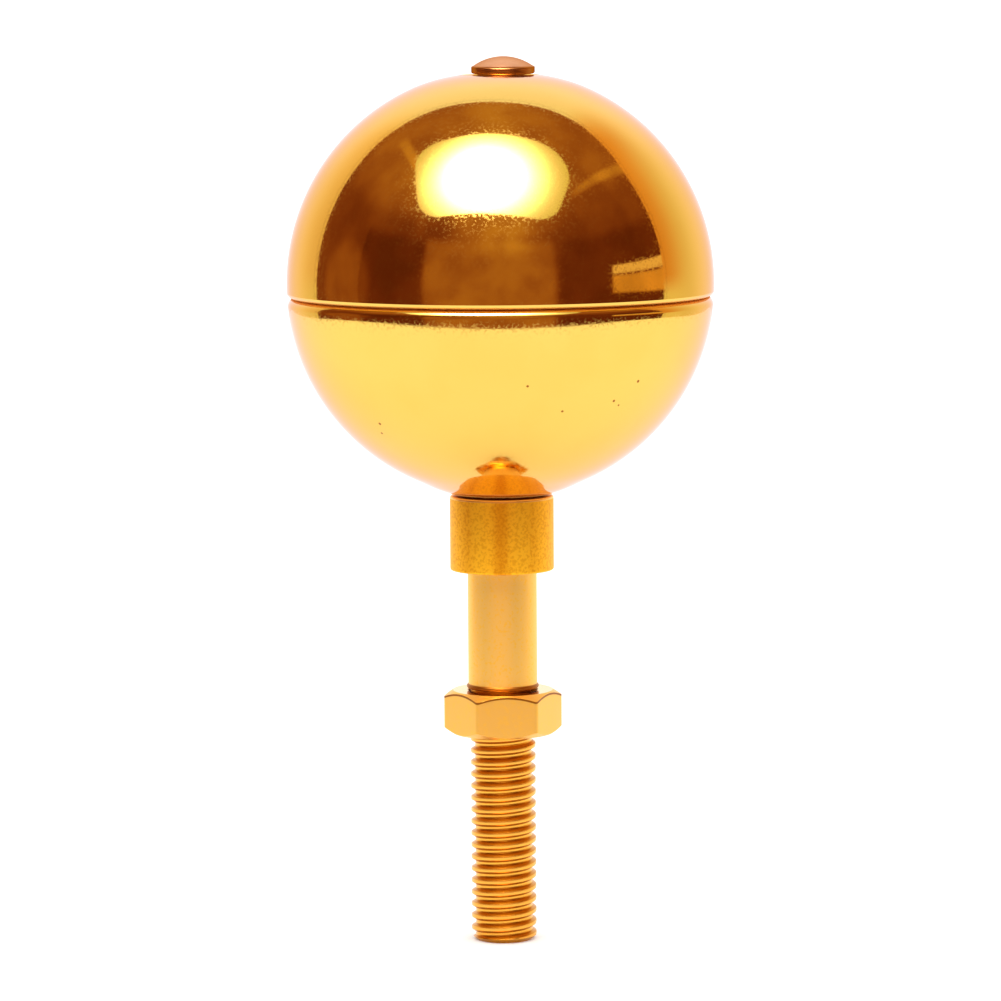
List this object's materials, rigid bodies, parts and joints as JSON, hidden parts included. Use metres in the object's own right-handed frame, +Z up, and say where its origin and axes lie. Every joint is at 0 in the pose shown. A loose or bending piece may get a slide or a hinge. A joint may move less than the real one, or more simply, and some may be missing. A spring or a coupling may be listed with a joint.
{
  "type": "flagpole finial",
  "caption": "Hollow spun metal ball finial with a seam round its middle, a button on top, and a collar, shank, hex nut and threaded end below, for the top of a flagpole.",
  "frame": {"origin": "on the spindle's axis, in the plane of the hex nut's underside, which comes down on top of the pole", "axes": "+Z up along the spindle to the ball, -Y towards the viewer of the picture, +X to the viewer's right"},
  "size_m": [0.0782, 0.0782, 0.1626],
  "materials": {
    "upper_shell_gold": "mirror polished, gold anodised",
    "lower_shell_gold": "mirror polished, gold anodised",
    "button_copper": "coppery gold anodised, satin",
    "collar_gold": "deep gold anodised, turned",
    "spindle_gold": "gold anodised, satin",
    "nut_gold": "gold anodised, satin"
  },
  "bodies": {
    "root": {"upper_half_shell": "upper_shell_gold", "lower_half_shell": "lower_shell_gold", "top_button": "button_copper", "collar": "collar_gold", "spindle": "spindle_gold", "hex_nut": "nut_gold"}
  },
  "joints": []
}
